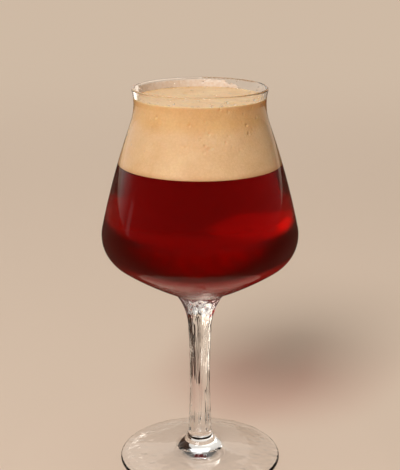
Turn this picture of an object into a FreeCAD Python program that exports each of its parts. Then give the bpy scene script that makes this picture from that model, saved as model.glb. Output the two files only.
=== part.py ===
import FreeCAD, Part
import math
import os

# A stemmed beer glass filled with barley wine, under a thick head of foam.
# Every piece is turned about Z. The origin is on the table, under the middle of the foot.
# Outlines lie in the XZ plane: X is the distance from the axis, Z is the height.
# Sizes are millimetres, slopes are degrees.

# The glass as a whole
GLASS_HEIGHT = 190.0
WALL = 1.4

# The bowl's outside, from the rim down. The neck and the widest place lie at depths below
# the rim, and the underside's depth is counted on from the widest place.
LIP_FLARE = 0.9
NECK_RADIUS = 31.1
NECK_DEPTH = 7.2
SHOULDER_BEND = 29.0
SIDE_BEND = 390.0
WIDEST_RADIUS = 47.5
WIDEST_DEPTH = 71.0
CORNER_BEND = 17.5
UNDERSIDE_DEPTH = 30.0
UNDERSIDE_BEND = 180.0

# The bowl's inside: its lowest point above the top of the stem
FLOOR_RISE = 4.5

# The stem, which is thinnest at its middle and flares into the bowl
STEM_RADIUS = 5.0
STEM_BEND = 450.0
STEM_TOP_RADIUS = 12.6
FLARE_BEND = 30.0
CREASE_BEND = 2.0

# The foot, which is hollowed underneath and stands on a flat ring
FOOT_RADIUS = 40.5
FOOT_EDGE_THICKNESS = 2.2
FOOT_EDGE_SLOPE = 5.0
FOOT_BEND = 150.0
FOOT_FILLET = 9.0
REST_RING_WIDTH = 2.5
HOLLOW_HEIGHT = 2.4

# The drink: the foam ends a little below the rim, and the beer fills the bowl below it
FOAM_TOP_DEPTH = 4.4
FOAM_THICKNESS = 31.8


def place(radius, height):
    """A point of an outline."""
    return FreeCAD.Vector(radius, 0.0, height)


def around(centre, radius, angle):
    """The point of a circle at an angle, which counts from outward through up."""
    turn = math.radians(angle)
    return centre + place(radius * math.cos(turn), radius * math.sin(turn))


def meet(first, first_reach, second, second_reach, upper):
    """The upper or the lower point that has a given distance from each of two points."""
    between = second - first
    gap = between.Length
    along = (gap**2 + first_reach**2 - second_reach**2) / (2.0 * gap)
    aside = math.sqrt(first_reach**2 - along**2)
    way = between / gap
    across = place(-way.z, way.x)
    if (across.z > 0.0) != upper:
        across = -across
    return first + way * along + across * aside


def touch(centre, radius, other):
    """Where a circle touches a tangent one: on the line through both centres."""
    way = other - centre
    return centre + way * (radius / way.Length)


def line(start, end):
    return Part.LineSegment(start, end).toShape()


def arc(start, centre, end):
    """The arc about a centre, the short way round."""
    middle = (start - centre) + (end - centre)
    crown = centre + middle * ((start - centre).Length / middle.Length)
    return Part.Arc(start, crown, end).toShape()


def turned(edges):
    """The solid that a closed outline sweeps about Z."""
    face = Part.Face(Part.Wire(edges))
    return face.revolve(place(0.0, 0.0), FreeCAD.Vector(0.0, 0.0, 1.0), 360.0)


# Heights above the table
widest_height = GLASS_HEIGHT - WIDEST_DEPTH
junction_height = widest_height - UNDERSIDE_DEPTH
neck_height = GLASS_HEIGHT - NECK_DEPTH
foam_height = GLASS_HEIGHT - FOAM_TOP_DEPTH
beer_height = foam_height - FOAM_THICKNESS
floor_height = junction_height + FLOOR_RISE

# The rim is rounded over the whole wall.
lip_radius = WALL / 2.0
lip = place(NECK_RADIUS + LIP_FLARE - lip_radius, GLASS_HEIGHT - lip_radius)
crown = around(lip, lip_radius, 90.0)

# From the neck up, the wall bends outward to meet the lip.
across = lip.x - NECK_RADIUS
rise = lip.z - neck_height
lip_bend = (across**2 + rise**2 - lip_radius**2) / (2.0 * LIP_FLARE)
neck = place(NECK_RADIUS + lip_bend, neck_height)

# From the neck down: the shoulder, the long side and the corner at the widest place.
shoulder = place(NECK_RADIUS + SHOULDER_BEND, neck_height)
corner = place(WIDEST_RADIUS - CORNER_BEND, widest_height)
side = meet(shoulder, SIDE_BEND + SHOULDER_BEND, corner, SIDE_BEND - CORNER_BEND, True)

# The underside runs from the corner to the top of the stem.
stem_top = place(STEM_TOP_RADIUS, junction_height)
underside = meet(corner, UNDERSIDE_BEND - CORNER_BEND, stem_top, UNDERSIDE_BEND, True)

# The inside's floor is a dish about the axis, tangent to the corner's inside.
drop = widest_height - floor_height
inner_corner = CORNER_BEND - WALL
floor_bend = (corner.x**2 + drop**2 - inner_corner**2) / (2.0 * (drop - inner_corner))
floor = place(0.0, floor_height + floor_bend)

# The foot's rounded edge, and its top, which rises in one bend towards the stem.
edge_radius = FOOT_EDGE_THICKNESS / 2.0
edge = place(FOOT_RADIUS - edge_radius, edge_radius)
top_angle = 90.0 - FOOT_EDGE_SLOPE
foot_top = around(edge, edge_radius + FOOT_BEND, top_angle)

# The stem's bend is halfway between the table and the bowl. It ends in a fillet at the
# foot and a flare at the bowl, and a small bend softens the crease above the flare.
stem = place(STEM_RADIUS + STEM_BEND, junction_height / 2.0)
fillet = meet(foot_top, FOOT_BEND - FOOT_FILLET, stem, STEM_BEND - FOOT_FILLET, False)
flare = meet(stem, STEM_BEND - FLARE_BEND, stem_top, FLARE_BEND, False)
crease = meet(underside, UNDERSIDE_BEND + CREASE_BEND, flare, FLARE_BEND - CREASE_BEND, False)


def bowl_side(inset):
    """The bowl's wall from the lip to the corner, its outside or a face inset from it."""
    lip_end = touch(neck, lip_bend + inset, lip)
    narrow = place(NECK_RADIUS - inset, neck_height)
    side_start = touch(side, SIDE_BEND - inset, shoulder)
    side_end = touch(side, SIDE_BEND - inset, corner)
    return [
        arc(lip_end, neck, narrow),
        arc(narrow, shoulder, side_start),
        arc(side_start, side, side_end),
    ]


def bowl_inside():
    """From the lip down to the middle of the floor."""
    corner_start = touch(side, SIDE_BEND - WALL, corner)
    floor_start = touch(floor, floor_bend, corner)
    return bowl_side(WALL) + [
        arc(corner_start, corner, floor_start),
        arc(floor_start, floor, place(0.0, floor_height)),
    ]


def bowl_outside():
    """From the lip down to the crease above the stem."""
    corner_start = touch(side, SIDE_BEND, corner)
    underside_start = touch(underside, UNDERSIDE_BEND, corner)
    crease_start = touch(underside, UNDERSIDE_BEND, crease)
    return bowl_side(0.0) + [
        arc(corner_start, corner, underside_start),
        arc(underside_start, underside, crease_start),
    ]


def stem_and_foot():
    """From the crease down the stem and over the foot to the middle of its hollow."""
    crease_start = touch(underside, UNDERSIDE_BEND, crease)
    flare_start = touch(flare, FLARE_BEND, crease)
    stem_start = touch(stem, STEM_BEND, flare)
    fillet_start = touch(stem, STEM_BEND, fillet)
    top_start = touch(foot_top, FOOT_BEND, fillet)
    edge_start = around(edge, edge_radius, top_angle)
    edge_middle = around(edge, edge_radius, 0.0)
    ring_outer = place(edge.x, 0.0)
    ring_inner = place(edge.x - REST_RING_WIDTH, 0.0)
    hollow_bend = (ring_inner.x**2 + HOLLOW_HEIGHT**2) / (2.0 * HOLLOW_HEIGHT)
    hollow = place(0.0, HOLLOW_HEIGHT - hollow_bend)
    return [
        arc(crease_start, crease, flare_start),
        arc(flare_start, flare, stem_start),
        arc(stem_start, stem, fillet_start),
        arc(fillet_start, fillet, top_start),
        arc(top_start, foot_top, edge_start),
        arc(edge_start, edge, edge_middle),
        arc(edge_middle, edge, ring_outer),
        line(ring_outer, ring_inner),
        arc(ring_inner, hollow, place(0.0, HOLLOW_HEIGHT)),
    ]


def lip_edges():
    """The rounded rim, from its inside over the crown to its outside."""
    return [
        arc(touch(neck, lip_bend + WALL, lip), lip, crown),
        arc(crown, lip, touch(neck, lip_bend, lip)),
    ]


def make_glass():
    axis = line(place(0.0, HOLLOW_HEIGHT), place(0.0, floor_height))
    outside = lip_edges() + bowl_outside() + stem_and_foot()
    return turned(outside + [axis] + bowl_inside()[::-1])


def make_cavity():
    """The space in the bowl, up to where the rounded lip begins."""
    mouth = touch(neck, lip_bend + WALL, lip)
    top = place(0.0, mouth.z)
    axis = line(place(0.0, floor_height), top)
    return turned(bowl_inside() + [axis, line(top, mouth)])


def layer(cavity, bottom, top):
    """The part of the bowl's cavity between two levels."""
    slab = Part.makeCylinder(WIDEST_RADIUS, top - bottom, place(0.0, bottom))
    return cavity.common(slab)


cavity = make_cavity()
pieces = {
    "glass": make_glass(),
    "beer": layer(cavity, junction_height, beer_height),
    "foam": layer(cavity, beer_height, foam_height),
}

os.makedirs("parts", exist_ok=True)
for name, shape in pieces.items():
    shape.exportStep(f"parts/{name}.step")
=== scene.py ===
import math

import bmesh
import bpy
import numpy as np
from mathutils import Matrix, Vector


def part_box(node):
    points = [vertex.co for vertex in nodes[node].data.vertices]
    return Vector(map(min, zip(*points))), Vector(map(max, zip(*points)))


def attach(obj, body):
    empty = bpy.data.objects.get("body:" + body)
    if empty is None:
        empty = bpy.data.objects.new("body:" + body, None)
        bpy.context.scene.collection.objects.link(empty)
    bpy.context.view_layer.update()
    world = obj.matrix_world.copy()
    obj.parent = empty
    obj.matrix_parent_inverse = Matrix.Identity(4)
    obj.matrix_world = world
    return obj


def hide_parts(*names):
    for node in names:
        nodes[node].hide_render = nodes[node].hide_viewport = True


# The looks of a glass of barley wine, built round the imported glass, beer and foam.

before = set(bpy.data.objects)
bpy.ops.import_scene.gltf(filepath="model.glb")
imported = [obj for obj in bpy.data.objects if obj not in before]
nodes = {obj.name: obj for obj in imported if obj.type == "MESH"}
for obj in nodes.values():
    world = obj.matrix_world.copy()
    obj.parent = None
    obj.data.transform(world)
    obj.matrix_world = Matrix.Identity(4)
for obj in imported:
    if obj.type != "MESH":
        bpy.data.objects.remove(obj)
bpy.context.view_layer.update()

# Sizes are metres. Angles are degrees, except where they are called radians.
MM = 0.001
FULL_TURN = 2.0 * math.pi

beer_low, beer_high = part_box("beer")
foam_low, foam_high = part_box("foam")
RIM_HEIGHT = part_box("glass")[1].z

# How far the beer and the foam reach into the glass wall, so that no air gap shows.
WALL_REACH = 0.15 * MM

# Heights nearer than this count as the same.
SAME_HEIGHT = 0.01 * MM

rng = np.random.default_rng(7)


# --- small helpers ------------------------------------------------------------------


def inner_wall():
    """The bowl's inside as radius against height, read from what fills it and, above, the glass."""
    radii = {}
    for name in ("beer", "foam"):
        for vertex in nodes[name].data.vertices:
            if name == "foam" or vertex.co.z < beer_high.z - SAME_HEIGHT:
                height = round(vertex.co.z, 6)
                radius = math.hypot(vertex.co.x, vertex.co.y)
                radii[height] = max(radii.get(height, 0.0), radius)
    for vertex in nodes["glass"].data.vertices:
        inward = vertex.normal.x * vertex.co.x + vertex.normal.y * vertex.co.y < 0.0
        if inward and vertex.co.z > foam_high.z + SAME_HEIGHT:
            radii[round(vertex.co.z, 6)] = math.hypot(vertex.co.x, vertex.co.y)
    heights = np.array(sorted(radii))
    return heights, np.array([radii[height] for height in heights])


WALL_HEIGHTS, WALL_RADII = inner_wall()


def wall_radius(height):
    return np.interp(height, WALL_HEIGHTS, WALL_RADII)


def wall_point(turn, height, inward=0.0):
    """A point on the bowl's inside. The turn is in radians."""
    radius = wall_radius(height) - inward
    return (radius * math.cos(turn), radius * math.sin(turn), height)


def link(name, data):
    piece = bpy.data.objects.new(name, data)
    bpy.context.scene.collection.objects.link(piece)
    return piece


def mesh_piece(name, points, faces, smooth=True):
    mesh = bpy.data.meshes.new(name)
    mesh.from_pydata([tuple(point) for point in points], [], faces)
    mesh.validate()
    if smooth:
        mesh.shade_smooth()
    return link(name, mesh)


def ring_faces(rings, around):
    """Faces of a closed skin: one point below, rings of points, and one point on top."""
    faces = []
    last = 1 + rings * around
    for step in range(around):
        after = (step + 1) % around
        faces.append((0, 1 + after, 1 + step))
        for ring in range(rings - 1):
            low = 1 + ring * around
            high = low + around
            faces.append((low + step, low + after, high + after, high + step))
        faces.append((last - around + step, last - around + after, last))
    return faces


def lathe(outline, segments):
    """Points and faces of an outline turned about Z. Its first and last points lie on the axis."""
    points = [(0.0, 0.0, outline[0][1])]
    for radius, height in outline[1:-1]:
        for step in range(segments):
            turn = FULL_TURN * step / segments
            points.append((radius * math.cos(turn), radius * math.sin(turn), height))
    points.append((0.0, 0.0, outline[-1][1]))
    return points, ring_faces(len(outline) - 2, segments)


def joined(name, parts):
    """One piece from several lots of points and faces."""
    points, faces = [], []
    for shape, skin in parts:
        first = len(points)
        points += shape
        faces += [[first + corner for corner in face] for face in skin]
    return mesh_piece(name, points, faces)


# --- shader helpers -----------------------------------------------------------------

# The sockets of the Mix node that carry colours.
MIX_FIRST = 6
MIX_SECOND = 7
MIX_RESULT = 2


def fill(tree, made, inputs):
    """Give a node its inputs. Each is a plain value or another node's output."""
    for key, value in inputs.items():
        if isinstance(value, bpy.types.NodeSocket):
            tree.links.new(value, made.inputs[key])
        else:
            made.inputs[key].default_value = value


def node(tree, kind, inputs, **settings):
    made = tree.nodes.new(kind)
    for key, value in settings.items():
        setattr(made, key, value)
    fill(tree, made, inputs)
    return made


def combined(tree, operation, first, second):
    """Two numbers put together, such as by ADD or LESS_THAN."""
    return node(tree, "ShaderNodeMath", {0: first, 1: second}, operation=operation).outputs[0]


def vectors(tree, operation, first, second):
    """Two vectors put together into a third."""
    inputs = {0: first, 1: second}
    return node(tree, "ShaderNodeVectorMath", inputs, operation=operation).outputs["Vector"]


def spread(tree, value, low, high, start, end, kind="LINEAR"):
    """The value taken from the range low to high into the range start to end, and kept in it."""
    inputs = {"Value": value, "From Min": low, "From Max": high, "To Min": start, "To Max": end}
    return node(tree, "ShaderNodeMapRange", inputs, interpolation_type=kind).outputs[0]


def own_place(tree):
    """Where each point lies in the shared frame, in metres."""
    return node(tree, "ShaderNodeTexCoord", {}).outputs["Object"]


def own_height(tree):
    return node(tree, "ShaderNodeSeparateXYZ", {"Vector": own_place(tree)}).outputs["Z"]


def clouds(tree, place, scale, detail=2.0):
    """Soft noise between 0 and 1. Its lumps are about 1 / scale across."""
    inputs = {"Vector": place, "Scale": scale, "Detail": detail}
    return node(tree, "ShaderNodeTexNoise", inputs).outputs["Fac"]


def cells(tree, scale):
    """How far each point lies from the nearest of many scattered seeds."""
    inputs = {"Vector": own_place(tree), "Scale": scale}
    return node(tree, "ShaderNodeTexVoronoi", inputs).outputs["Distance"]


def two_tones(tree, value, low, dark, high, light):
    """The dark colour where the value is low and the light one where it is high."""
    ramp = node(tree, "ShaderNodeValToRGB", {"Fac": value})
    ends = ramp.color_ramp.elements
    ends[0].position = low
    ends[0].color = dark
    ends[1].position = high
    ends[1].color = light
    return ramp.outputs["Color"]


def height_band(tree, steps):
    """A value that changes smoothly over height. Each step is a height and the value there."""
    low, high = steps[0][0], steps[-1][0]
    share = spread(tree, own_height(tree), low, high, 0.0, 1.0)
    ramp = node(tree, "ShaderNodeValToRGB", {"Fac": share})
    ramp.color_ramp.interpolation = "EASE"
    elements = ramp.color_ramp.elements
    elements.remove(elements[1])
    for number, (height, value) in enumerate(steps):
        if number > 0:
            elements.new((height - low) / (high - low))
        elements[number].color = (value, value, value, 1.0)
    return ramp.outputs["Color"]


def tinted(tree, colour, factor, tint):
    """The colour multiplied by a tint where the factor is 1."""
    mix = node(
        tree,
        "ShaderNodeMix",
        {"Factor": factor, MIX_FIRST: colour, MIX_SECOND: tint},
        data_type="RGBA",
        blend_type="MULTIPLY",
    )
    return mix.outputs[MIX_RESULT]


def bumped(tree, height, strength, distance):
    """A normal for relief that is the distance deep where the height is 1."""
    inputs = {"Height": height, "Strength": strength, "Distance": distance}
    return node(tree, "ShaderNodeBump", inputs).outputs["Normal"]


def new_material(name):
    material = bpy.data.materials.new(name)
    material.use_nodes = True
    tree = material.node_tree
    return material, tree, tree.nodes["Principled BSDF"]


def show(tree, surface):
    """Make this shader the material's surface."""
    tree.links.new(surface, tree.nodes["Material Output"].inputs["Surface"])


def let_lamps_through(tree, shader, tint):
    """Shadow and diffuse rays pass straight through, so that lamps light what is inside, once."""
    path = node(tree, "ShaderNodeLightPath", {}).outputs
    either = combined(tree, "MAXIMUM", path["Is Shadow Ray"], path["Is Diffuse Ray"])
    clear = node(tree, "ShaderNodeBsdfTransparent", {"Color": tint}).outputs[0]
    mix = node(tree, "ShaderNodeMixShader", {0: either, 1: shader.outputs[0], 2: clear})
    show(tree, mix.outputs[0])


# --- materials ----------------------------------------------------------------------

WHITE = (1.0, 1.0, 1.0, 1.0)
BLACK = (0.0, 0.0, 0.0, 1.0)

# How strongly light bends.
GLASS_IOR = 1.5
BEER_IOR = 1.34
WATER_IOR = 1.33

# How much light a lamp's rays keep at each skin that they pass.
GLASS_TINT = (0.965, 0.955, 0.945, 1.0)
WET_TINT = (0.97, 0.96, 0.94, 1.0)

# How much of its mirroring straight on the glass keeps, next to air.
GLASS_GLOSS = 0.35

# Relief of the glass: its unit of depth, and how many units deep each kind is.
RELIEF_UNIT = 2.0 * MM
STREAK_DEPTH = 2.0
RIPPLE_DEPTH = 0.18
MOTTLE_DEPTH = 0.25

# What the beer lets through and what it scatters. The densities are per metre.
BEER_CLEAR = (0.952, 0.2, 0.0, 1.0)
BEER_CLEAR_DENSITY = 200.0
BEER_HAZE = (1.0, 0.16, 0.04, 1.0)
BEER_HAZE_DENSITY = 11.0
BEER_HAZE_FORWARD = 0.3

FOAM_DARK = (0.775, 0.495, 0.26, 1.0)
FOAM_LIGHT = (0.86, 0.60, 0.34, 1.0)
# Tint of the yellower band just under the head's top.
UPPER_BAND_TINT = (0.99, 0.92, 0.76, 1.0)
SOAKED_TINT = (0.86, 0.76, 0.70, 1.0)
SPECK_TINT = (0.86, 0.80, 0.74, 1.0)
LACE_DARK = (0.86, 0.66, 0.50, 1.0)
LACE_LIGHT = (0.93, 0.77, 0.63, 1.0)
FILM_COLOUR = (1.0, 0.97, 0.93, 1.0)


def wall_against_filling(tree):
    """1 on the bowl's inside where beer or foam touches it, and 0 elsewhere."""
    surface = node(tree, "ShaderNodeNewGeometry", {}).outputs
    side = spread(tree, surface["Backfacing"], 0.0, 1.0, 1.0, -1.0)
    inputs = {0: surface["Normal"], "Scale": side}
    outward = node(tree, "ShaderNodeVectorMath", inputs, operation="SCALE").outputs["Vector"]
    from_centre = vectors(tree, "SUBTRACT", own_place(tree), (0.0, 0.0, beer_high.z))
    inputs = {0: outward, 1: from_centre}
    away = node(tree, "ShaderNodeVectorMath", inputs, operation="DOT_PRODUCT").outputs["Value"]
    inside = combined(tree, "LESS_THAN", away, 0.0)
    height = own_height(tree)
    above = combined(tree, "GREATER_THAN", height, beer_low.z - 0.5 * MM)
    below = combined(tree, "LESS_THAN", height, foam_high.z)
    return combined(tree, "MULTIPLY", combined(tree, "MULTIPLY", above, below), inside)


def stem_streaks(tree):
    """Long streaks drawn along the stem, fading out at the foot and at the bowl."""
    drawn_out = vectors(tree, "MULTIPLY", own_place(tree), (1.0, 1.0, 0.06))
    stem_top = beer_low.z
    steps = [
        (12 * MM, 0.0),
        (24 * MM, STREAK_DEPTH),
        (stem_top - 10 * MM, STREAK_DEPTH),
        (stem_top, 0.0),
    ]
    return combined(tree, "MULTIPLY", clouds(tree, drawn_out, 310.0, 1.5), height_band(tree, steps))


def foot_ripples(tree):
    """Slow ripples in the foot, but none on the cone that rises to the stem."""
    place = own_place(tree)
    flat = vectors(tree, "MULTIPLY", place, (1.0, 1.0, 0.0))
    out = node(tree, "ShaderNodeVectorMath", {0: flat}, operation="LENGTH").outputs["Value"]
    beyond_cone = spread(tree, out, 17 * MM, 30 * MM, 0.0, RIPPLE_DEPTH)
    low = height_band(tree, [(8 * MM, 1.0), (12 * MM, 0.0)])
    on_foot = combined(tree, "MULTIPLY", beyond_cone, low)
    return combined(tree, "MULTIPLY", clouds(tree, place, 170.0, 1.0), on_foot)


def joint_mottle(tree):
    """Mottling where the stem joins the bowl."""
    joint = beer_low.z
    steps = [
        (joint - 16 * MM, 0.0),
        (joint - 6 * MM, MOTTLE_DEPTH),
        (joint + 6 * MM, MOTTLE_DEPTH),
        (joint + 12 * MM, 0.0),
    ]
    return combined(tree, "MULTIPLY", clouds(tree, own_place(tree), 420.0), height_band(tree, steps))


def glass_material():
    """Clear glass. Against beer or foam its inside hardly reflects, as their indices are close."""
    material, tree, shader = new_material("clear_glass")
    relief = combined(tree, "ADD", stem_streaks(tree), foot_ripples(tree))
    relief = combined(tree, "ADD", relief, joint_mottle(tree))
    smears = clouds(tree, own_place(tree), 60.0, 4.0)
    looks = {
        "Base Color": WHITE,
        "Transmission Weight": 1.0,
        "IOR": GLASS_IOR,
        "Specular Tint": spread(tree, wall_against_filling(tree), 0.0, 1.0, GLASS_GLOSS, 0.0),
        "Normal": bumped(tree, relief, 1.0, RELIEF_UNIT),
        "Roughness": spread(tree, smears, 0.45, 0.8, 0.0, 0.03),
    }
    fill(tree, shader, looks)
    let_lamps_through(tree, shader, GLASS_TINT)
    return material


def beer_material():
    """Clear dark red, which drinks up all but red light, with the faint haze of a strong ale."""
    material, tree, shader = new_material("dark_beer")
    looks = {
        "Base Color": WHITE,
        "Transmission Weight": 1.0,
        "IOR": BEER_IOR,
        "Specular Tint": BLACK,
        "Roughness": spread(tree, clouds(tree, own_place(tree), 40.0), 0.0, 1.0, 0.08, 0.2),
    }
    fill(tree, shader, looks)
    inputs = {"Color": BEER_CLEAR, "Density": BEER_CLEAR_DENSITY}
    absorb = node(tree, "ShaderNodeVolumeAbsorption", inputs).outputs[0]
    inputs = {"Color": BEER_HAZE, "Density": BEER_HAZE_DENSITY, "Anisotropy": BEER_HAZE_FORWARD}
    scatter = node(tree, "ShaderNodeVolumeScatter", inputs).outputs[0]
    both = node(tree, "ShaderNodeAddShader", {0: absorb, 1: scatter}).outputs[0]
    tree.links.new(both, tree.nodes["Material Output"].inputs["Volume"])
    let_lamps_through(tree, shader, WHITE)
    return material


def foam_colour(tree):
    """Cream in soft clouds, yellower in a band just under the top, darker at the beer."""
    low, high = foam_low.z, foam_high.z
    # A band just under the head's top, which is tinted yellower.
    steps = [
        (high - 15 * MM, 0.0),
        (high - 8 * MM, 1.0),
        (high - 1.2 * MM, 1.0),
        (high - 0.4 * MM, 0.0),
    ]
    dried = height_band(tree, steps)
    soaked = height_band(tree, [(low, 1.0), (low + 2.5 * MM, 0.0)])
    specks = spread(tree, cells(tree, 900.0), 0.0, 0.8, 0.0, 0.5)
    cream = clouds(tree, own_place(tree), 75.0, 5.0)
    colour = two_tones(tree, cream, 0.3, FOAM_DARK, 0.7, FOAM_LIGHT)
    colour = tinted(tree, colour, dried, UPPER_BAND_TINT)
    colour = tinted(tree, colour, soaked, SOAKED_TINT)
    return tinted(tree, colour, specks, SPECK_TINT)


def foam_material():
    material, tree, shader = new_material("beer_foam")
    looks = {
        "Base Color": foam_colour(tree),
        "Roughness": 0.55,
        "Specular IOR Level": 0.3,
        "Subsurface Weight": 0.5,
        "Subsurface Radius": (1.0, 0.6, 0.35),
        "Subsurface Scale": 3.0 * MM,
        "Normal": bumped(tree, cells(tree, 1300.0), 0.35, 0.15 * MM),
    }
    fill(tree, shader, looks)
    return material


def lacing_material():
    """A thin film of foam dried on the glass."""
    material, tree, shader = new_material("foam_lacing")
    patches = clouds(tree, own_place(tree), 700.0, 3.0)
    looks = {
        "Base Color": two_tones(tree, patches, 0.35, LACE_DARK, 0.65, LACE_LIGHT),
        "Roughness": 0.35,
        "Alpha": 0.85,
    }
    fill(tree, shader, looks)
    return material


def wet_material(name):
    """Clear wet film of bubbles and drops."""
    material, tree, shader = new_material(name)
    looks = {
        "Base Color": FILM_COLOUR,
        "Transmission Weight": 1.0,
        "IOR": WATER_IOR,
        "Roughness": spread(tree, clouds(tree, own_place(tree), 900.0), 0.0, 1.0, 0.0, 0.06),
    }
    fill(tree, shader, looks)
    let_lamps_through(tree, shader, WET_TINT)
    return material


def plain_material(name, colour):
    """A dull, even surface for the stage."""
    material, tree, shader = new_material(name)
    fill(tree, shader, {"Base Color": colour, "Roughness": 0.8, "Specular IOR Level": 0.2})
    return material


# --- pieces -------------------------------------------------------------------------

# How finely the pieces are divided.
BEER_AROUND = 192
BEER_RINGS = 90
FOAM_AROUND = 560
FOAM_SIDE_RINGS = 66
FOAM_TOP_RINGS = 84
LACE_AROUND = 420
LACE_RINGS = 30
BEAD_SEGMENTS = 14
BEAD_RINGS = 8

# How many there are of each small thing.
SIDE_BUBBLES = 110
TOP_CRATERS = 100
TOP_BUBBLES = 170
DROPS = 90
WAVE_COUNT = 14

# The beer's top reaches this far up into the foam.
BEER_OVERLAP = 0.2 * MM

# The dried film runs between two turns, where 0 is on the right and 90 straight behind. It is
# thickest about its middle, and most drops gather there too.
LACE_START = 40.0
LACE_END = 200.0
LACE_MIDDLE = 112.0
LACE_SPREAD = 62.0
LACE_THICKEST = 0.2 * MM
LACE_THINNEST = 0.02 * MM
DROPS_MIDDLE = 113.0
DROPS_SPREAD = 9.0


def make_beer():
    top_radius = wall_radius(beer_high.z) - 1.0 * MM
    top = beer_high.z + BEER_OVERLAP
    outline = [(0.0, beer_low.z - WALL_REACH)]
    for height in np.linspace(beer_low.z, beer_high.z, BEER_RINGS)[1:]:
        outline.append((wall_radius(height) + WALL_REACH, height))
    outline.append((top_radius, top))
    outline.append((0.0, top))
    points, faces = lathe(outline, BEER_AROUND)
    return mesh_piece("barley_wine", points, faces)


def waves(x, y, size, seed):
    """Smooth unevenness of about -1 to 1, with bumps of about the given size."""
    total = np.zeros(np.broadcast(x, y).shape)
    draw = np.random.default_rng(seed)
    for _ in range(WAVE_COUNT):
        turn = draw.uniform(0.0, FULL_TURN)
        length = size * draw.uniform(1.0, 3.0)
        phase = draw.uniform(0.0, FULL_TURN)
        along = x * math.cos(turn) + y * math.sin(turn)
        total += np.sin(along * FULL_TURN / length + phase)
    return total / math.sqrt(WAVE_COUNT)


def dents(x, y, marks, wrap=None):
    """Depth of round dents. Each mark is x, y, its radius and its depth."""
    depth = np.zeros(np.broadcast(x, y).shape)
    for at_x, at_y, radius, deep in marks:
        across = x - at_x
        if wrap:
            across = (across + wrap / 2.0) % wrap - wrap / 2.0
        near = 1.0 - (across**2 + (y - at_y) ** 2) / radius**2
        depth = np.maximum(depth, deep * np.sqrt(np.clip(near, 0.0, 1.0)))
    return depth


def side_marks(mean):
    """Dents of bubbles against the glass, as places along the head's side at its mean radius."""
    marks = []
    for _ in range(SIDE_BUBBLES):
        size = rng.uniform(0.35, 0.85) ** 1.3 * MM
        height = foam_high.z - rng.uniform(1.0, 30.0) ** 0.9 * MM
        # More of them cling on the right of the front.
        if rng.random() < 0.4:
            turn = rng.normal(-0.9, 0.6)
        else:
            turn = rng.uniform(0.0, FULL_TURN)
        marks.append((turn * mean, height, size, size * rng.uniform(0.3, 0.7)))
    return marks


def foam_side():
    """Rings of the head's side, dented by bubbles."""
    turns = np.linspace(0.0, FULL_TURN, FOAM_AROUND, endpoint=False)
    heights = np.linspace(foam_low.z, foam_high.z, FOAM_SIDE_RINGS)[:, None]
    mean = wall_radius((foam_low.z + foam_high.z) / 2.0)
    depth = dents((turns * mean)[None, :], heights, side_marks(mean), FULL_TURN * mean)
    depth[0] = 0.0
    distance = wall_radius(heights) + WALL_REACH - depth
    level = np.repeat(heights, FOAM_AROUND, 1)
    return np.stack([distance * np.cos(turns), distance * np.sin(turns), level], axis=-1)


def foam_top_height(x, y):
    """Height of the head's top: a soft, uneven swell that clings up at the wall."""
    edge = wall_radius(foam_high.z)
    radius = np.hypot(x, y)
    swell = 0.5 * MM * (1.0 - (radius / edge) ** 2)
    cling = 0.45 * MM * np.exp(-np.maximum(edge - radius, 0.0) / (0.9 * MM))
    uneven = 0.22 * MM * waves(x, y, 8 * MM, 11) + 0.05 * MM * waves(x, y, 2.5 * MM, 12)
    calm = np.clip((edge - radius) / (2 * MM), 0.15, 1.0)
    return foam_high.z - 0.45 * MM + swell + cling + uneven * calm


def top_marks(edge):
    """Craters of popped bubbles, scattered evenly over the head's top."""
    marks = []
    for _ in range(TOP_CRATERS):
        far = edge * math.sqrt(rng.random())
        turn = rng.uniform(0.0, FULL_TURN)
        size = (0.4 + 1.1 * rng.random() ** 2) * MM
        depth = size * rng.uniform(0.12, 0.3)
        marks.append((far * math.cos(turn), far * math.sin(turn), size, depth))
    return marks


def foam_top():
    """Rings of the head's top, from its edge to near its middle."""
    turns = np.linspace(0.0, FULL_TURN, FOAM_AROUND, endpoint=False)
    edge = wall_radius(foam_high.z) + WALL_REACH
    share = (np.arange(1, FOAM_TOP_RINGS + 1) / (FOAM_TOP_RINGS + 1.0)) ** 1.15
    radius = (edge * (1.0 - share))[:, None]
    x, y = radius * np.cos(turns), radius * np.sin(turns)
    height = foam_top_height(x, y) - dents(x, y, top_marks(edge))
    return np.stack([x, y, height], axis=-1)


def make_foam():
    rings = np.concatenate([foam_side(), foam_top()])
    bottom = (0.0, 0.0, foam_low.z)
    middle = (0.0, 0.0, float(rings[-1, :, 2].mean()))
    points = [bottom] + rings.reshape(-1, 3).tolist() + [middle]
    return mesh_piece("foam_head", points, ring_faces(len(rings), FOAM_AROUND))


def bead(place, normal, radius, squash, hollow=0.0):
    """Points and faces of one drop on a surface, or of a hollow bubble with a thin skin."""
    upright = Vector(normal).to_track_quat("Z", "Y").to_matrix()
    points, faces = [], []
    for size in [1.0] if hollow == 0.0 else [1.0, 1.0 - hollow]:
        outline = []
        for step in range(BEAD_RINGS + 1):
            lift = math.pi * step / BEAD_RINGS - math.pi / 2.0
            height = radius * size * squash * math.sin(lift)
            outline.append((radius * size * math.cos(lift), height))
        shape, skin = lathe(outline, BEAD_SEGMENTS)
        first = len(points)
        points += [tuple(upright @ Vector(point) + Vector(place)) for point in shape]
        for face in skin:
            moved = [first + corner for corner in face]
            faces.append(moved if size == 1.0 else moved[::-1])
    return points, faces


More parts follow.
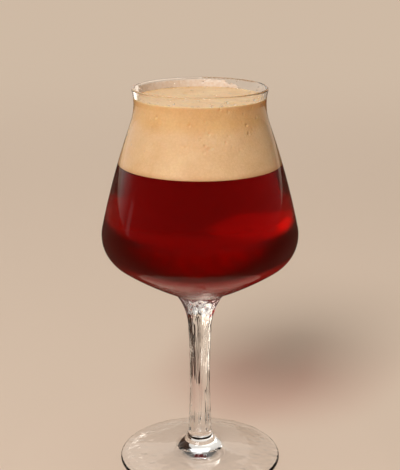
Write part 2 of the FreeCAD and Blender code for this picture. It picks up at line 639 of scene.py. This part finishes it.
def make_top_bubbles():
    """Clear bubbles on the head, most of them along the glass."""
    edge = wall_radius(foam_high.z)
    beads = []
    for _ in range(TOP_BUBBLES):
        size = (0.22 + 0.5 * rng.random() ** 2.5) * MM
        turn = rng.uniform(0.0, FULL_TURN)
        if rng.random() < 0.6:
            far = edge - size - rng.exponential(0.6) * MM
        else:
            far = (edge - size) * math.sqrt(rng.random())
        x, y = far * math.cos(turn), far * math.sin(turn)
        place = (x, y, float(foam_top_height(x, y)) + 0.2 * size)
        beads.append(bead(place, (0.0, 0.0, 1.0), size, 0.85, hollow=0.12))
    return joined("foam_bubbles", beads)


def lace_thickness(turns, heights):
    """How thick the dried film is: a soft sheet at the back on the left, torn at its upper edge."""
    along = turns * wall_radius(RIM_HEIGHT - 2.0 * MM)
    coarse = waves(along, heights, 3.0 * MM, 21)
    fine = waves(along, heights, 0.9 * MM, 22)
    aside = (np.degrees(turns) - LACE_MIDDLE) / LACE_SPREAD
    cover = 2.2 * np.exp(-(aside**4)) - 0.9
    rise = (heights - foam_high.z) / (RIM_HEIGHT - foam_high.z)
    amount = 0.35 * coarse + 0.3 * fine + cover - 0.9 * rise
    thick = np.clip(amount * 0.25 * MM, 0.0, LACE_THICKEST)
    thick[0], thick[-1], thick[:, 0], thick[:, -1] = 0.0, 0.0, 0.0, 0.0
    return thick


def film_cells(thick):
    """Cells of the film's grid that it covers, and the grid points inside its patches.

    Necks one cell wide are cut and lone cells dropped, so that every patch is closed.
    """
    covered = thick[:-1, :-1] + thick[1:, :-1] + thick[:-1, 1:] + thick[1:, 1:] > 0.0
    while True:
        ringed = np.pad(covered, 1)
        inside = ringed[:-1, :-1] & ringed[1:, :-1] & ringed[:-1, 1:] & ringed[1:, 1:]
        held = inside[:-1, :-1] | inside[1:, :-1] | inside[:-1, 1:] | inside[1:, 1:]
        across = covered[:, :-1] & covered[:, 1:] & ~inside[:-1, 1:-1] & ~inside[1:, 1:-1]
        along = covered[:-1] & covered[1:] & ~inside[1:-1, :-1] & ~inside[1:-1, 1:]
        if not (across.any() or along.any() or (covered & ~held).any()):
            return covered, inside
        covered &= held
        covered[:, 1:] &= ~across
        covered[1:] &= ~along


def make_lacing():
    """Closed patches of film. Along their edges the two skins share their points."""
    turns = np.radians(np.linspace(LACE_START, LACE_END, LACE_AROUND))[None, :]
    low, high = foam_high.z - 0.2 * MM, RIM_HEIGHT - 0.9 * MM
    heights = np.linspace(low, high, LACE_RINGS)[:, None]
    thick = lace_thickness(turns, heights)
    covered, inside = film_cells(thick)
    points, inner, outer = [], {}, {}
    for ring, step in np.ndindex(thick.shape):
        turn, height = float(turns[0, step]), float(heights[ring, 0])
        outer[ring, step] = len(points)
        points.append(wall_point(turn, height, -0.04 * MM))
        inner[ring, step] = outer[ring, step]
        if inside[ring, step]:
            inner[ring, step] = len(points)
            points.append(wall_point(turn, height, max(float(thick[ring, step]), LACE_THINNEST)))
    faces = []
    for ring, step in np.argwhere(covered).tolist():
        corners = [(ring, step), (ring, step + 1), (ring + 1, step + 1), (ring + 1, step)]
        faces.append([outer[corner] for corner in corners])
        faces.append([inner[corner] for corner in reversed(corners)])
    piece = mesh_piece("foam_lacing", points, faces)
    drop_loose_points(piece)
    return piece


def drop_loose_points(piece):
    shape = bmesh.new()
    shape.from_mesh(piece.data)
    loose = [vertex for vertex in shape.verts if not vertex.link_faces]
    bmesh.ops.delete(shape, geom=loose, context="VERTS")
    shape.to_mesh(piece.data)
    shape.free()


def make_drops():
    """Small drops of beer on the glass above the head, most at the back on the left."""
    beads = []
    for _ in range(DROPS):
        if rng.random() < 0.7:
            turn = math.radians(rng.normal(DROPS_MIDDLE, DROPS_SPREAD))
        else:
            turn = math.radians(rng.uniform(0.0, 360.0))
        height = rng.uniform(RIM_HEIGHT - 4.0 * MM, RIM_HEIGHT - 1.4 * MM)
        size = (0.22 + 0.42 * rng.random() ** 2) * MM
        inward = (-math.cos(turn), -math.sin(turn), 0.0)
        beads.append(bead(wall_point(turn, height, 0.12 * MM), inward, size, 0.6))
    return joined("beer_drops", beads)


# --- stage --------------------------------------------------------------------------

# The camera looks slightly down at a point on the glass's axis.
AIM_HEIGHT = 118.0 * MM
CAMERA_DISTANCE = 540.0 * MM
CAMERA_TILT = 16.5
LENS = 85.4
SENSOR_WIDTH = 36.0

# Where the lamps point, unless they are told otherwise.
LAMP_AIM = (0.0, 0.0, 0.11)
LAMP_WHITE = (1.0, 1.0, 1.0)
GLOW_COLOUR = (1.0, 0.92, 0.8)

# Low lamps behind on the left: name, place, size and power.
GLOWS = [
    ("glow_core", (-0.22, 0.36, 0.075), (0.12, 0.08), 0.03),
    ("glow_wide", (-0.17, 0.39, 0.055), (0.34, 0.15), 0.07),
    ("stem_light", (-0.052, 0.095, 0.034), (0.014, 0.066), 0.005),
]

FLOOR_REACH = 6.0
FLOOR_LEVEL = -0.2 * MM
FLOOR_COLOUR = (0.74, 0.58, 0.45, 1.0)
# The floor's even colour far from the object, and between which distances it fades in.
FLOOR_FAR_COLOUR = (0.62, 0.49, 0.375, 1.0)
FLOOR_FAR_START = 0.45
FLOOR_FAR_END = 1.5

# Points along each edge of a dark card, which is curved.
CARD_STEPS = 65
CARD_COLOUR = (0.06, 0.03, 0.015, 1.0)

WORLD_FRONT = 0.11
WORLD_BACK = 0.85
WORLD_ABOVE = 0.35
WORLD_BRIGHT_WAY = (-0.34, 0.94, 0.0)
WORLD_COLOUR = (1.0, 0.95, 0.88, 1.0)


def add_camera():
    data = bpy.data.cameras.new("camera")
    data.lens = LENS
    data.sensor_width = SENSOR_WIDTH
    data.clip_start = 0.01
    camera = link("camera", data)
    tilt = math.radians(CAMERA_TILT)
    away = Vector((0.0, -math.cos(tilt), math.sin(tilt))) * CAMERA_DISTANCE
    camera.location = Vector((0.0, 0.0, AIM_HEIGHT)) + away
    camera.rotation_euler = (math.radians(90.0 - CAMERA_TILT), 0.0, 0.0)
    bpy.context.scene.camera = camera


def add_lamp(name, place, size, power, colour=LAMP_WHITE, aim=LAMP_AIM, opening=180.0):
    data = bpy.data.lights.new(name, "AREA")
    data.shape = "RECTANGLE"
    data.size, data.size_y = size
    data.energy = power
    data.color = colour
    data.spread = math.radians(opening)
    lamp = link(name, data)
    lamp.location = place
    lamp.rotation_euler = (Vector(aim) - Vector(place)).to_track_quat("-Z", "Y").to_euler()
    return lamp


def add_softbox(name, azimuth, elevation, distance, width, light):
    """A square lamp. Azimuth 0 stands on the camera's side and 90 on the right.

    Its light is the irradiance that it gives at the object, in watts per square metre.
    """
    turn, lift = math.radians(azimuth), math.radians(elevation)
    level = math.cos(lift)
    way = Vector((math.sin(turn) * level, -math.cos(turn) * level, math.sin(lift)))
    power = light * math.pi * distance**2
    add_lamp(name, Vector(LAMP_AIM) + way * distance, (width, width), power)


def add_world():
    """Pale behind and above the object and dim on the camera's side, as in a studio."""
    world = bpy.data.worlds.new("world")
    bpy.context.scene.world = world
    world.use_nodes = True
    tree = world.node_tree
    way = node(tree, "ShaderNodeTexCoord", {}).outputs["Generated"]
    inputs = {0: way, 1: WORLD_BRIGHT_WAY}
    facing = node(tree, "ShaderNodeVectorMath", inputs, operation="DOT_PRODUCT").outputs["Value"]
    behind = spread(tree, facing, 0.4, 0.95, WORLD_FRONT, WORLD_BACK, "SMOOTHSTEP")
    upward = node(tree, "ShaderNodeSeparateXYZ", {"Vector": way}).outputs["Z"]
    above = spread(tree, upward, 0.5, 0.8, 0.0, WORLD_ABOVE, "SMOOTHSTEP")
    light = combined(tree, "MAXIMUM", behind, above)
    fill(tree, tree.nodes["Background"], {"Color": WORLD_COLOUR, "Strength": light})


def floor_material():
    """A pale floor. Far from the object it is seen in its own even colour, however it is lit."""
    material = plain_material("floor", FLOOR_COLOUR)
    tree = material.node_tree
    inputs = {0: own_place(tree)}
    distance = node(tree, "ShaderNodeVectorMath", inputs, operation="LENGTH").outputs["Value"]
    far = spread(tree, distance, FLOOR_FAR_START, FLOOR_FAR_END, 0.0, 1.0, "SMOOTHSTEP")
    path = node(tree, "ShaderNodeLightPath", {}).outputs
    seen = path["Is Camera Ray"]
    for kind in ("Is Glossy Ray", "Is Transmission Ray"):
        seen = combined(tree, "MAXIMUM", seen, path[kind])
    share = combined(tree, "MULTIPLY", far, seen)
    lit = tree.nodes["Principled BSDF"].outputs[0]
    even = node(tree, "ShaderNodeEmission", {"Color": FLOOR_FAR_COLOUR}).outputs[0]
    show(tree, node(tree, "ShaderNodeMixShader", {0: share, 1: lit, 2: even}).outputs[0])
    return material


def add_floor():
    corners = [(-1, -1), (1, -1), (1, 1), (-1, 1)]
    points = [(x * FLOOR_REACH, y * FLOOR_REACH, FLOOR_LEVEL) for x, y in corners]
    floor = mesh_piece("floor", points, [(0, 1, 2, 3)], smooth=False)
    floor.data.materials.append(floor_material())


def add_glows():
    """Lamps seen only through the glass, as the beer's glow and the stem's white streak."""
    for name, place, size, power in GLOWS:
        glow = add_lamp(name, place, size, power, GLOW_COLOUR)
        glow.data.shape = "ELLIPSE"
        glow.visible_camera = False
        glow.visible_glossy = False
        glow.visible_diffuse = False


def add_dark_card(name, turns, radii, height):
    """A dark card round the object, leaning out from its lower radius to its upper one.

    It runs between two angles, where 0 is straight behind the object and 90 on the right.
    The camera doesn't see it, and it casts no shadow.
    """
    points = []
    for turn in np.radians(np.linspace(*turns, CARD_STEPS)).tolist():
        for radius, level in zip(radii, (0.0, height)):
            points.append((radius * math.sin(turn), radius * math.cos(turn), level))
    faces = [(step, step + 2, step + 3, step + 1) for step in range(0, 2 * CARD_STEPS - 2, 2)]
    card = mesh_piece(name, points, faces)
    card.data.materials.append(plain_material(name, CARD_COLOUR))
    card.visible_camera = False
    card.visible_diffuse = False
    card.visible_shadow = False
    return card


def add_dark_cards():
    """One shows only through the glass, as the stem's dark streak, and one only in its gloss."""
    stem_card = add_dark_card("stem_card", (14.0, 58.0), (94 * MM, 94 * MM), 80 * MM)
    stem_card.visible_glossy = False
    edge_card = add_dark_card("edge_card", (0.0, 360.0), (95 * MM, 350 * MM), 130 * MM)
    edge_card.visible_transmission = False


def add_stage():
    add_floor()
    add_world()
    add_softbox("key", -22.0, 44.0, 2.0, 0.7, 2.45)
    add_softbox("top", 160.0, 72.0, 1.5, 0.8, 0.12)
    behind = (0.0, 2.2, 0.0)
    add_lamp("background", (0.0, 2.2, 2.0), (2.0, 2.0), 12.0, aim=behind, opening=120.0)
    # The faint streak on the left of the bowl.
    strip = add_lamp("left_strip", (-0.50, 0.0, 0.155), (0.05, 0.06), 0.004)
    strip.visible_camera = False
    strip.visible_transmission = False
    add_glows()
    add_dark_cards()
    bpy.context.scene.view_settings.view_transform = "Standard"


# --- the object ---------------------------------------------------------------------

nodes["glass"].data.materials.clear()
nodes["glass"].data.materials.append(glass_material())

beer = make_beer()
beer.data.materials.append(beer_material())
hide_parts("beer")
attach(beer, "root")

foam = make_foam()
foam.data.materials.append(foam_material())
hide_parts("foam")
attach(foam, "root")

lacing = make_lacing()
lacing.data.materials.append(lacing_material())
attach(lacing, "root")

top_bubbles = make_top_bubbles()
top_bubbles.data.materials.append(wet_material("bubble_film"))
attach(top_bubbles, "root")

drops = make_drops()
drops.data.materials.append(wet_material("beer_drop"))
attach(drops, "root")

add_stage()
add_camera()
